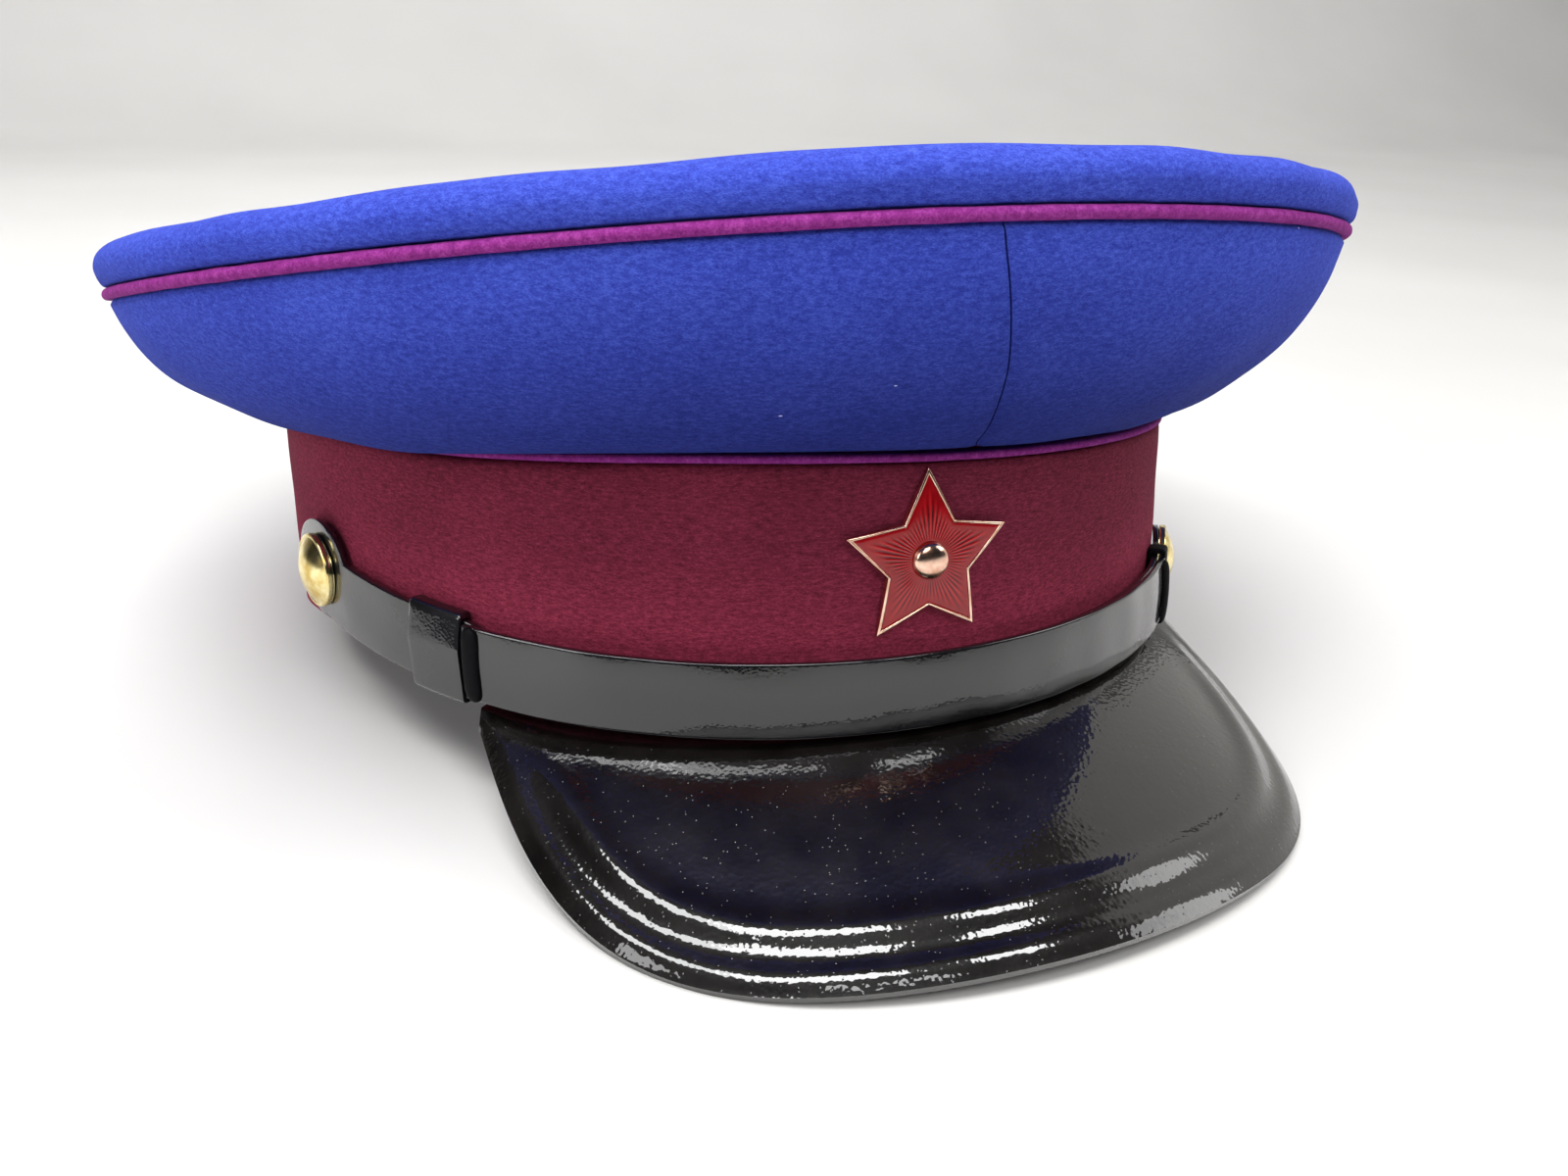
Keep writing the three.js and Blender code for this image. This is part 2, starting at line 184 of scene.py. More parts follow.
def addNode(tree, kind, settings=None, inputs=None):
    node = tree.nodes.new("ShaderNode" + kind)
    for name, value in (settings or {}).items():
        setattr(node, name, value)
    for name, value in (inputs or {}).items():
        if isinstance(value, bpy.types.NodeSocket):
            tree.links.new(value, node.inputs[name])
        else:
            node.inputs[name].default_value = value
    return node


def newFinish(name):
    finish = bpy.data.materials.new(name)
    finish.use_nodes = True
    finish.node_tree.nodes.clear()
    return finish, finish.node_tree


# Noise with lumps of a size in millimetres.
def noise(tree, place, size, detail, roughness=0.5):
    return addNode(tree, "TexNoise", inputs={
        "Vector": place, "Scale": 1 / (size * mm), "Detail": detail, "Roughness": roughness})


def surface(tree, inputs):
    shader = addNode(tree, "BsdfPrincipled", inputs=inputs)
    addNode(tree, "OutputMaterial", inputs={"Surface": shader.outputs[0]})


def setRamp(node, stops):
    ramp = node.color_ramp
    while len(ramp.elements) < len(stops):
        ramp.elements.new(0.5)
    for element, (place, colour) in zip(ramp.elements, stops):
        element.position = place
        element.color = colour


# Felted wool, fulled and raised: a short matt nap that lies mostly round the cap, mottled from
# fibre to fibre, with a soft bloom where it is seen along the surface.
def feltedWool(name, wool):
    finish, tree = newFinish(name)
    place = addNode(tree, "TexCoord").outputs["Object"]
    # fibres run round the cap, so the pattern is drawn out sideways
    laid = addNode(tree, "VectorMath", {"operation": "MULTIPLY"}, {0: place, 1: (1, 1, wool["lie"])})
    fibre = noise(tree, laid.outputs[0], wool["fibre"], 3.0, 0.65)
    tuft = noise(tree, laid.outputs[0], wool["tuft"], 2.0, 0.6)
    cloud = noise(tree, place, wool["cloud"], 2.0)
    blend = addNode(tree, "Mix", {"data_type": "FLOAT"}, {
        0: 0.45, 2: fibre.outputs["Fac"], 3: tuft.outputs["Fac"]})  # nearly as much tuft as fibre
    blend = addNode(tree, "Mix", {"data_type": "FLOAT"}, {
        0: 0.12, 2: blend.outputs[0], 3: cloud.outputs["Fac"]})  # and a little cloud
    ramp = addNode(tree, "ValToRGB", inputs={"Fac": blend.outputs[0]})
    setRamp(ramp, [
        (0.36, linear(wool["deep"])), (0.5, linear(wool["body"])), (0.66, linear(wool["tips"]))])
    # painted shade: where the mark is set, the cloth is darkened as if shaded by the crown's overhang
    paintedShade = addNode(tree, "Attribute", {"attribute_name": "paintedShade"})
    shadedTone = addNode(tree, "Mix", {"data_type": "RGBA", "blend_type": "MULTIPLY"}, {
        0: paintedShade.outputs["Fac"], 6: ramp.outputs["Color"], 7: linear("#b9b9c2")})
    # stray pale fibres and dust caught in the nap, a few to the hand's breadth
    lint = addNode(tree, "TexVoronoi", {"feature": "F1"}, {
        "Vector": laid.outputs[0], "Scale": 1 / (wool["lintSpacing"] * mm), "Randomness": 1.0})
    near = addNode(tree, "Math", {"operation": "LESS_THAN"}, {
        0: lint.outputs["Distance"], 1: wool["lintSize"] / wool["lintSpacing"]})
    chosen = addNode(tree, "SeparateColor", inputs={"Color": lint.outputs["Color"]})
    chosen = addNode(tree, "Math", {"operation": "GREATER_THAN"}, {
        0: chosen.outputs["Red"], 1: 0.8})  # one spot in five
    caught = addNode(tree, "Math", {"operation": "MULTIPLY"}, {
        0: near.outputs[0], 1: chosen.outputs[0]})
    colour = addNode(tree, "Mix", {"data_type": "RGBA"}, {
        0: caught.outputs[0], 6: shadedTone.outputs[2], 7: linear(wool["lint"])})
    nap = addNode(tree, "Bump", inputs={
        "Strength": 0.55, "Distance": wool["nap"] * mm, "Height": blend.outputs[0]})
    surface(tree, {
        "Base Color": colour.outputs[2], "Roughness": 0.95, "IOR": 1.45, "Specular IOR Level": 0.15,
        "Sheen Weight": wool["bloom"], "Sheen Roughness": 0.45, "Sheen Tint": linear(wool["tips"]),
        "Normal": nap.outputs[0]})
    return finish


# Fibres are 0.03 mm thick, too fine to show, so they are drawn as locks ten times as coarse.
blueWool = feltedWool("royal blue melton wool", {
    "deep": "#252e88", "body": "#3343a5", "tips": "#4a5dc6", "lint": "#c9cdf0",
    "fibre": 0.35, "tuft": 1.2, "cloud": 24, "lie": 2.2, "nap": 0.4, "bloom": 0.08,
    "lintSpacing": 14, "lintSize": 0.3,
})
maroonWool = feltedWool("maroon melton wool", {
    "deep": "#5a1a29", "body": "#80293f", "tips": "#a63d58", "lint": "#c79aa6",
    "fibre": 0.4, "tuft": 1.3, "cloud": 28, "lie": 3.2, "nap": 0.35, "bloom": 0.06,
    "lintSpacing": 22, "lintSize": 0.22,
})
crimsonWool = feltedWool("crimson wool piping", {
    "deep": "#621a5c", "body": "#7d2775", "tips": "#98408f", "lint": "#d9a6cd",
    "fibre": 0.3, "tuft": 1.1, "cloud": 18, "lie": 1.0, "nap": 0.25, "bloom": 0.06,
    "lintSpacing": 30, "lintSize": 0.2,
})


# Patent leather, lacquered over a plated grain: black and wet-looking, with a little orange peel
# that breaks the edges of each reflection into specks.
def patentLeather(name, leather):
    finish, tree = newFinish(name)
    place = addNode(tree, "TexCoord").outputs["Object"]
    peel = noise(tree, place, leather["peel"], 1.0)
    grain = addNode(tree, "TexVoronoi", {"feature": "SMOOTH_F1"}, {
        "Vector": place, "Scale": 1 / (leather["grain"] * mm), "Smoothness": 0.6})
    dust = noise(tree, place, leather["smear"], 4.0, 0.6)
    tone = addNode(tree, "ValToRGB", inputs={"Fac": dust.outputs["Fac"]})
    setRamp(tone, [(0.4, linear(leather["black"])), (0.75, linear(leather["worn"]))])
    gloss = addNode(tree, "MapRange", inputs={
        "Value": dust.outputs["Fac"], "From Min": 0.35, "From Max": 0.75,
        "To Min": leather["gloss"], "To Max": leather["gloss"] + 0.12})
    peelBump = addNode(tree, "Bump", inputs={
        "Distance": leather["peelDepth"] * mm, "Height": peel.outputs["Fac"]})
    grainBump = addNode(tree, "Bump", inputs={
        "Distance": leather["grainDepth"] * mm, "Height": grain.outputs["Distance"],
        "Normal": peelBump.outputs[0]})
    # dust caught in the lacquer stands up in tiny pimples, each with its own glint
    dustSpeck = addNode(tree, "TexVoronoi", {"feature": "F1"}, {
        "Vector": place, "Scale": 1 / (leather["speckSpacing"] * mm), "Randomness": 1.0})
    pimple = addNode(tree, "MapRange", {"interpolation_type": "SMOOTHSTEP"}, {
        "Value": dustSpeck.outputs["Distance"], "From Min": 0.0,
        "From Max": leather["speckSize"] / leather["speckSpacing"], "To Min": 1.0, "To Max": 0.0})
    relief = addNode(tree, "Bump", inputs={
        "Distance": leather["speckDepth"] * mm, "Height": pimple.outputs["Result"],
        "Normal": grainBump.outputs[0]})
    surface(tree, {
        "Base Color": tone.outputs["Color"], "Roughness": gloss.outputs["Result"], "IOR": 1.5,
        "Specular IOR Level": leather["shine"], "Coat Weight": leather["lacquer"],
        "Coat Roughness": 0.04, "Coat IOR": leather["lacquerIor"],
        "Normal": relief.outputs[0], "Coat Normal": relief.outputs[0]})
    return finish


peakPatent = patentLeather("black patent leather of the peak", {
    "black": "#080605", "worn": "#13100f", "peel": 1.6, "peelDepth": 0.03, "grain": 0.8,
    "grainDepth": 0.022, "smear": 12, "gloss": 0.3, "shine": 0.1, "lacquer": 1.0, "lacquerIor": 1.58,
    "speckSpacing": 1.1, "speckSize": 0.16, "speckDepth": 0.042,
})
strapPatent = patentLeather("black patent leather of the strap", {
    "black": "#08080a", "worn": "#131318", "peel": 3.0, "peelDepth": 0.02, "grain": 0.5,
    "grainDepth": 0.01, "smear": 9, "gloss": 0.3, "shine": 0.15, "lacquer": 1.0, "lacquerIor": 1.64,
    "speckSpacing": 4.0, "speckSize": 0.2, "speckDepth": 0.02,
})

# The same leather left unlacquered and dyed: a dull black that only greys along its edges.
edgeLeather = patentLeather("dull black edge leather", {
    "black": "#060507", "worn": "#0f0e12", "peel": 3.0, "peelDepth": 0.03, "grain": 0.5,
    "grainDepth": 0.03, "smear": 6, "gloss": 0.55, "shine": 0.08, "lacquer": 0.0, "lacquerIor": 1.5,
    "speckSpacing": 4.0, "speckSize": 0.2, "speckDepth": 0.02,
})


# Gilt brass, stamped and polished: warm yellow metal with faint handling marks and duller patches here
# and there.
def giltBrass(name, brass):
    finish, tree = newFinish(name)
    place = addNode(tree, "TexCoord").outputs["Object"]
    haze = noise(tree, place, brass["haze"], 3.0, 0.6)
    rubbed = addNode(tree, "VectorMath", {"operation": "MULTIPLY"}, {0: place, 1: (1, 1, 9)})
    marks = noise(tree, rubbed.outputs[0], brass["scratch"], 1.0)
    tone = addNode(tree, "ValToRGB", inputs={"Fac": haze.outputs["Fac"]})
    setRamp(tone, [(0.35, linear(brass["dull"])), (0.65, linear(brass["bright"]))])
    gloss = addNode(tree, "MapRange", inputs={
        "Value": haze.outputs["Fac"], "From Min": 0.3, "From Max": 0.7, "To Min": 0.24, "To Max": 0.14})
    bump = addNode(tree, "Bump", inputs={
        "Strength": 0.2, "Distance": brass["scratchDepth"] * mm, "Height": marks.outputs["Fac"]})
    surface(tree, {
        "Base Color": tone.outputs["Color"], "Metallic": 1.0, "Roughness": gloss.outputs["Result"],
        "Normal": bump.outputs[0]})
    return finish


buttonBrass = giltBrass("pale gilt brass of the buttons", {
    "dull": "#d2b465", "bright": "#f6e9b0", "haze": 2.5, "scratch": 0.6, "scratchDepth": 0.02,
})
starBrass = giltBrass("rose gilt brass of the star", {
    "dull": "#d39f86", "bright": "#f4d3bd", "haze": 2.5, "scratch": 0.5, "scratchDepth": 0.02,
})


# Fired glass enamel over an engine-cut ground: deep clear red, lighter where it lies thin on a ray.
def firedEnamel(name, enamel):
    finish, tree = newFinish(name)
    place = addNode(tree, "TexCoord").outputs["Object"]
    ray = addNode(tree, "Attribute", {"attribute_name": "ray"})
    pool = noise(tree, place, enamel["pool"], 2.0)
    depth = addNode(tree, "Mix", {"data_type": "FLOAT"}, {
        0: 0.3, 2: ray.outputs["Fac"], 3: pool.outputs["Fac"]})
    tone = addNode(tree, "ValToRGB", inputs={"Fac": depth.outputs[0]})
    setRamp(tone, [
        (0.15, linear(enamel["deep"])), (0.5, linear(enamel["body"])), (0.85, linear(enamel["thin"]))])
    bump = addNode(tree, "Bump", inputs={
        "Strength": 0.3, "Distance": enamel["wave"] * mm, "Height": pool.outputs["Fac"]})
    surface(tree, {
        "Base Color": tone.outputs["Color"], "Roughness": 0.1, "IOR": 1.5, "Normal": bump.outputs[0]})
    return finish


redEnamel = firedEnamel("fired red glass enamel", {
    "deep": "#4a0308", "body": "#8a0a12", "thin": "#b81c22", "pool": 3.0, "wave": 0.05,
})
print("finishes ready")

# Forms that several pieces share. Angles are degrees round the cap from the middle of the front.
bandOval = {"halfWidth": 94.7, "halfLength": 99.4, "centreY": 0}
rimOval = {"halfWidth": 123.2, "halfLength": 129.2, "centreY": -3.4}
seamLine = {
    "frontHeight": 46.7, "backHeight": 38.5, "frontRise": 3.4, "lean": 1.5, "arch": 0.6,
    "twist": 3.4, "twistAngle": -14, "twistWidth": 40,
}
# the band's lower edge arches up at each side, most at the wearer's right
bandArches = [{"angle": -74, "lift": 6.5, "width": 22}, {"angle": 90, "lift": 3, "width": 24}]
rimLine = {"height": 73.8, "frontSlope": 0.08, "sideDroop": 4.8}
cloth = {"wall": 2.0, "weltSpace": 1.0, "cordSpace": 1.2, "turnedEdge": 0.9}


def ovalPlace(oval, angle, outward=0.0):
    a = np.radians(angle)
    normalX, normalY = np.sin(a) / oval["halfWidth"], -np.cos(a) / oval["halfLength"]
    size = np.hypot(normalX, normalY)
    normalX, normalY = normalX / size, normalY / size
    x = oval["halfWidth"] * np.sin(a) + normalX * outward
    y = oval["centreY"] - oval["halfLength"] * np.cos(a) + normalY * outward
    return x, y, normalX, normalY


# A soft hump of height 1 round a middle value.
def hump(value, middle, width):
    return np.exp(-((value - middle) / width) ** 2)


def bandFoot(angle):
    return sum(arch["lift"] * hump(angle, arch["angle"], arch["width"]) for arch in bandArches)


# The seam of crown and band stands highest at the front, leans and twists a little down to the
# wearer's left and follows the arches of the lower edge by a share.
def seamHeight(angle):
    a = np.radians(angle)
    frontShare = ((1 + np.cos(a)) / 2) ** seamLine["frontRise"]
    height = lerp(seamLine["backHeight"], seamLine["frontHeight"], frontShare)
    fromTwist = (angle - seamLine["twistAngle"]) / seamLine["twistWidth"]
    twist = seamLine["twist"] * fromTwist * np.exp(-fromTwist**2)
    return height - seamLine["lean"] * np.sin(a) - twist + seamLine["arch"] * bandFoot(angle)


# The rim rises to the front and droops at the sides.
def rimHeight(x, y):
    droop = rimLine["sideDroop"] * (x / rimOval["halfWidth"]) ** 2
    return rimLine["height"] - rimLine["frontSlope"] * y - droop


def bandPoints(angle, outward, z):
    x, y, _, _ = ovalPlace(bandOval, angle, outward)
    return np.stack(np.broadcast_arrays(x, y, z), axis=-1)


def rimPoints(angle, outward, rise):
    x, y, _, _ = ovalPlace(rimOval, angle, outward)
    return np.stack(np.broadcast_arrays(x, y, rimHeight(x, y) + rise), axis=-1)


def fullTurn(columns):
    return np.linspace(-180, 180, columns, endpoint=False)[:, None]


# Band: maroon cloth, turned in at both edges and a little full between them.
# Its lower edge is trimmed a little behind the strap.
band = {
    "columns": 288, "rows": 30, "wall": 2.6, "edge": 1.1, "fullness": 0.3,
    "uneven": 0.14, "waves": (16, 34), "seed": 3, "trim": 0.7, "trimFrom": -0.25, "trimSpan": 0.4,
    # the last five keys set the shade painted into the upper band
    "paintedShadeAmount": 0.8, "paintedShadeFrom": 0.2, "paintedShadeSpan": 0.5, "sidePaintedShade": 0.4, "paintedShadeFade": 3,
}


def makeBand():
    angle = fullTurn(band["columns"])
    up = crowdedSteps(band["rows"])
    height = seamHeight(angle) - cloth["weltSpace"]
    ahead = np.cos(np.radians(angle))
    trimmed = np.clip((ahead - band["trimFrom"]) / band["trimSpan"], 0, 1)
    foot = bandFoot(angle) + band["trim"] * trimmed
    z = lerp(foot, height, up)
    fromEdge = np.minimum(z - foot, height - z)
    outward = band["fullness"] * np.sin(math.pi * up) - edgeFall(fromEdge, band["edge"])
    outer = bandPoints(angle, outward, z)
    shift = band["uneven"] * unevenness(outer, band["waves"], band["seed"])
    outer += gridNormals(outer, True) * shift[..., None]
    inner = bandPoints(angle, -band["wall"] + 0 * z, z)
    sections = np.concatenate([outer, inner[:, ::-1]], axis=1)
    # painted shade darkens the upper half, most at the front, where the crown's overhang would shade it
    frontShare = ((1 + ahead) / 2) ** band["paintedShadeFade"]
    paintedShadeAmount = np.clip((up - band["paintedShadeFrom"]) / band["paintedShadeSpan"], 0, 1)
    paintedShadeAmount = paintedShadeAmount * band["paintedShadeAmount"] * lerp(band["sidePaintedShade"], 1, frontShare)
    marks = np.concatenate([paintedShadeAmount, paintedShadeAmount[:, ::-1]], axis=1)
    makePiece("bandCloth", sections, sweptFaces(*sections.shape[:2], True), maroonWool,
              "band", {"paintedShade": marks})


makeBand()

# Cords: piping of crimson cloth over a cord, with a flat tail that is caught in the seam.
piping = {"sink": 0.1, "uneven": 0.05, "waves": (7, 17), "seed": 5}
bandWelt = {"columns": 320, "sides": 14, "radius": 0.7, "tail": 2.6}
crownCord = {"columns": 420, "sides": 18, "radius": 1.0, "tail": 2.0}


def weltPoints(angle, outward, rise):
    return bandPoints(angle, outward, seamHeight(angle) + rise)


def makeCord(name, cord, pointsAt, nodeName):
    angle = fullTurn(cord["columns"])
    nose = np.radians(np.linspace(-90, 90, cord["sides"]))
    out = np.append(cord["radius"] * np.cos(nose), [-cord["tail"], -cord["tail"]])
    rise = np.append(cord["radius"] * np.sin(nose), [cord["radius"], -cord["radius"]])
    plain = pointsAt(angle, out - piping["sink"], rise)
    swell = 1 + piping["uneven"] * unevenness(plain[:, :1], piping["waves"], piping["seed"])
    sections = pointsAt(angle, out * swell - piping["sink"], rise * swell)
    makePiece(name, sections, sweptFaces(*sections.shape[:2], True), crimsonWool,
              nodeName)


makeCord("bandWelt", bandWelt, weltPoints, "band_piping")
makeCord("crownCord", crownCord, rimPoints, "crown_piping")

# Crown sides: two halves of blue cloth that belly out from band to cord and meet in turned seams.
crownSide = {
    "columns": 150, "rows": 46, "crowding": 0.22, "seamGap": 0.08, "seamEdge": 0.5, "seamFade": 4,
    "seamFoot": 6.4, "seamTop": -2.7, "seamBend": 0.6,
    "uneven": 0.3, "waves": (22, 48), "seed": 11, "quiet": 6,
    # the last two keys set the shade painted into the lower side
    "sag": 3.4, "sagAngle": -58, "sagWidth": 28, "paintedShadeTo": 0.85, "paintedShadeSpan": 0.65,
}
sideProfile = [  # share of the overhang, share of the height
    (0, 0), (0.27, 0.12), (0.5, 0.27), (0.7, 0.44), (0.84, 0.62), (0.94, 0.81), (1, 1)]


# The seam at the front leans to the wearer's right as it goes up.
def frontSeam(up):
    return lerp(crownSide["seamFoot"], crownSide["seamTop"], up ** crownSide["seamBend"])


def makeCrownSide(name, fromSeam, toSeam, nodeName):
    # columns crowd towards both seams, where the cloth turns in
    even = np.linspace(-1, 1, crownSide["columns"])
    crowded = np.sign(even) * (1 - (1 - np.abs(even)) ** 2)
    share = (0.5 + 0.5 * lerp(even, crowded, crownSide["crowding"]))[:, None]
    out, up = smoothLine(sideProfile, crownSide["rows"]).T
    up = np.clip(up, 0, 1)
    angle = lerp(fromSeam(up), toSeam(up), share)
    low = bandPoints(angle, 0, seamHeight(angle) + cloth["weltSpace"])
    high = rimPoints(angle, 0, -cloth["cordSpace"])
    outer = lerp(low, high, out[None, :, None])
    outer[..., 2] = lerp(low[..., 2], high[..., 2], up)
    normals = gridNormals(outer)
    normals *= np.sign(np.sum(normals[..., :2] * outer[..., :2], axis=2, keepdims=True))
    fromSeams, fromEdge = fromBothEnds(outer, 0), fromBothEnds(outer, 1)
    seamFall = edgeFall(fromSeams, crownSide["seamEdge"])
    seamFall *= np.clip(fromEdge / crownSide["seamFade"], 0.1, 1)
    shift = -np.maximum(edgeFall(fromEdge, cloth["turnedEdge"]), seamFall)
    loose = np.clip(fromEdge / crownSide["quiet"], 0, 1) * np.clip(fromSeams / crownSide["quiet"], 0, 1)
    shift += crownSide["uneven"] * loose * unevenness(outer, crownSide["waves"], crownSide["seed"])
    face = outer + normals * shift[..., None]
    back = outer - normals * cloth["wall"]
    # the cloth hangs over the welt at the wearer's right
    hang = hump(angle, crownSide["sagAngle"], crownSide["sagWidth"])
    drop = crownSide["sag"] * hang * np.sin(math.pi * np.sqrt(up))
    face[..., 2] -= drop
    back[..., 2] -= drop
    sections = np.concatenate([face, back[:, ::-1]], axis=1)
    # painted shade: the cloth darkens towards the band, where the side turns down away from the light
    paintedShadeAmount = np.clip((crownSide["paintedShadeTo"] - up) / crownSide["paintedShadeSpan"], 0, 1)
    marks = np.broadcast_to(np.concatenate([paintedShadeAmount, paintedShadeAmount[::-1]]), sections.shape[:2])
    makePiece(name, sections, sweptFaces(*sections.shape[:2], False), blueWool, nodeName,
              {"paintedShade": marks})


makeCrownSide("crownSideLeft", lambda up: frontSeam(up) + crownSide["seamGap"],
              lambda up: 180 - crownSide["seamGap"] + 0 * up, "crown_side_left")
makeCrownSide("crownSideRight", lambda up: -180 + crownSide["seamGap"] + 0 * up,
              lambda up: frontSeam(up) - crownSide["seamGap"], "crown_side_right")

# Crown top: blue cloth drawn over a padded rim roll and across a nearly flat top.
crownTop = {
    "columns": 320, "rollRows": 34, "topRows": 40,
    "uneven": 0.35, "waves": (24, 60), "seed": 17, "looseFrom": 2, "looseSpan": 4,
    "pucker": 0.12, "puckerWaves": (5, 9), "puckerSeed": 19, "puckerHeight": 2.6, "puckerWidth": 1.4,
}
rollProfile = [  # offset outward from the rim, share of the way out, height above the rim
    (-1.6, 1, 1.45), (-0.6, 1, 1.2), (0.35, 1, 1.45), (0.95, 1, 2.1), (1.35, 1, 3.2), (1.5, 1, 5),
    (0.4, 1, 7), (-2.4, 1, 8.5), (-7, 1, 9.1)]
topProfile = [(-7, 1, 9.1), (-7, 0.84, 9), (-7, 0.6, 8.2), (-7, 0.3, 7.6), (-7, 0.01, 7.5)]


def makeCrownTop():
    angle = fullTurn(crownTop["columns"])
    roll = smoothLine(rollProfile, crownTop["rollRows"])
    top = smoothLine(topProfile, crownTop["topRows"])[1:]
    out, share, up = np.concatenate([roll, top]).T
    x, y, _, _ = ovalPlace(rimOval, angle, out)
    x, y = x * share, y * share
    outer = np.stack([x, y, rimHeight(x, y) + up], axis=-1)
    normals = gridNormals(outer, True)
    normals *= np.sign(normals[:, -8:, 2].mean())
    loose = np.clip((up - crownTop["looseFrom"]) / crownTop["looseSpan"], 0, 1)
    shift = crownTop["uneven"] * loose * unevenness(outer, crownTop["waves"], crownTop["seed"])
    gather = hump(up, crownTop["puckerHeight"], crownTop["puckerWidth"]) * (share == 1)
    gather = gather * unevenness(outer, crownTop["puckerWaves"], crownTop["puckerSeed"])
    shift += crownTop["pucker"] * gather
    face = outer + normals * shift[..., None]
    back = outer - normals * cloth["wall"]
    rings = np.concatenate([back[:, ::-1], face], axis=1).transpose(1, 0, 2)
    poles = [back[:, -1].mean(axis=0), face[:, -1].mean(axis=0)]
    points = np.concatenate([rings.reshape(-1, 3), poles])
    makePiece("crownTopCloth", points, polarFaces(*rings.shape[:2]), blueWool, "crown_top")


makeCrownTop()

# Peak: lacquered leather pressed over a form, with a rolled lip and ridges that follow it.
peak = {
    "columns": 300, "rows": 100, "rowCrowding": 0.7, "cut": 0.97, "lipPoints": 700, "lipCut": 0.995,
    "endAngle": 52.2, "turn": 3.6, "length": 49.8, "frontDrop": 25.2, "endDrop": 36.3, "forward": 0.5,
    "roundness": 5.5, "taper": 1.43, "bow": 1.6, "wall": 2.2, "lipWall": 1.2, "tuck": 1.8,
    "bandGap": 0.3, "rootCalm": 24,
    # distance from the lip, half width and height of each raised line
    "ridges": [(2.8, 2.4, 0.65), (10.2, 3.0, 0.9)],
}


def peakSurface(share, along):
    angle = share * peak["endAngle"]
    x, y, normalX, normalY = ovalPlace(bandOval, angle)
    aheadX = normalX * (1 - peak["forward"])
    aheadY = lerp(normalY, -1, peak["forward"])
    size = np.hypot(aheadX, aheadY)
    aheadX, aheadY = aheadX / size, aheadY / size
    reach = (1 - np.abs(share) ** peak["roundness"]) ** peak["taper"]
    length = peak["length"] * reach
    slope = np.radians(lerp(peak["frontDrop"], peak["endDrop"], share**2))
    across = np.stack([aheadX * np.sin(slope), aheadY * np.sin(slope), np.cos(slope)], axis=-1)
    level, fall = length * along * np.cos(slope), length * along * np.sin(slope)
    foot = bandFoot(angle + peak["turn"]) - peak["bandGap"]
    points = np.stack([x + aheadX * level, y + aheadY * level, foot * (1 - along) - fall], axis=-1)
    bow = 4 * peak["bow"] * along * (1 - along) * reach
    root = np.stack([x - normalX * peak["tuck"], y - normalY * peak["tuck"], foot], axis=-1)
    return points + across * bow[..., None], across, root


def makePeak():
    share = np.linspace(-peak["cut"], peak["cut"], peak["columns"])[:, None]
    along = np.linspace(0, 1, peak["rows"]) ** peak["rowCrowding"]  # closer rows towards the lip
    plain, across, root = peakSurface(share, along)
    lipShare = np.linspace(-peak["lipCut"], peak["lipCut"], peak["lipPoints"])[:, None]
    lip = peakSurface(lipShare, np.ones(1))[0][:, 0]
    fromLip = np.stack([np.linalg.norm(column[:, None] - lip, axis=2).min(axis=1) for column in plain])
    relief = sum(high * hump(fromLip, at, half) for at, half, high in peak["ridges"])
    fromRoot = np.linalg.norm(plain - plain[:, :1], axis=2)
    calm = np.clip(fromRoot / peak["rootCalm"], 0, 1)
    relief *= calm**2 * (3 - 2 * calm)  # the ridges die out towards the band
    upper = plain + across * relief[..., None]
    lower = plain - across * lerp(peak["wall"], peak["lipWall"], along)[None, :, None]
    rootLow = root - np.array([0, 0, peak["wall"]])
    sections = np.concatenate([root, upper[:, 1:], lower[:, :0:-1], rootLow], axis=1)
    spin = np.array(Matrix.Rotation(math.radians(peak["turn"]), 3, "Z"))
    makePiece("peakLeather", sections @ spin.T, sweptFaces(*sections.shape[:2], False), peakPatent,
              "peak")


makePeak()

# Chin strap: two layers of leather that lie on the band, hang lowest near the front and run
# through a keeper on each side. The inner layer ends in rounded tabs under the buttons.
strap = {
    "innerWidth": 13.5, "outerWidth": 13.2, "thickness": 1.2, "standOff": 1.6, "layerGap": 0.3,
    "lowHeight": 6.6, "lowAngle": 9, "rise": 5.35, "riseAngle": 60, "curl": 2.5, "edge": 0.18,
    "rows": 26, "innerColumns": 160, "tabColumns": 44, "tabCut": 0.992, "tabStretch": 1.23,
    "innerCup": 0.3, "outerCup": 0.42, "innerTrim": 0.9, "trimFade": 2, "drawnWidth": 5,
    "uneven": 0.11, "waves": (12, 34), "innerSeed": 29, "outerSeed": 23,
}
buttonSeats = {
    "right": {"angle": -71, "rise": 2.2, "tabRise": 2.2, "tabRadius": 9.4, "drawnIn": 0},
    "left": {"angle": 52.5, "rise": 1.5, "tabRise": 1.2, "tabRadius": 7.2, "drawnIn": 1.15},
}
outerStrap = {"from": -46.6, "to": 43.9, "columns": 220}
bandRadius = (bandOval["halfWidth"] + bandOval["halfLength"]) / 2
outerStandOff = strap["standOff"] + strap["thickness"] + strap["layerGap"]


def strapHeight(angle):
    away = np.abs(angle - strap["lowAngle"]) / strap["riseAngle"]
    return strap["lowHeight"] + strap["rise"] * away ** strap["curl"]


# A layer is cupped across its width and wavers a little along its length.
def strapSections(angle, standOff, low, high, cup, fromEdge, seed):
    v = np.sin(np.linspace(-math.pi / 2, math.pi / 2, strap["rows"]))
    z = lerp(low, high, (v + 1) / 2)
    bend = cup * (0.5 - v**2)
    edge = fromEdge(z)
    waver = strap["uneven"] * unevenness(bandPoints(angle, standOff, z), strap["waves"], seed)
    face = standOff + strap["thickness"] + bend + waver - edgeFall(edge, strap["edge"])
    back = standOff + bend + edgeFall(edge, strap["edge"] * 0.5)
    return np.concatenate([bandPoints(angle, face, z), bandPoints(angle, back, z)[:, ::-1]], axis=1)


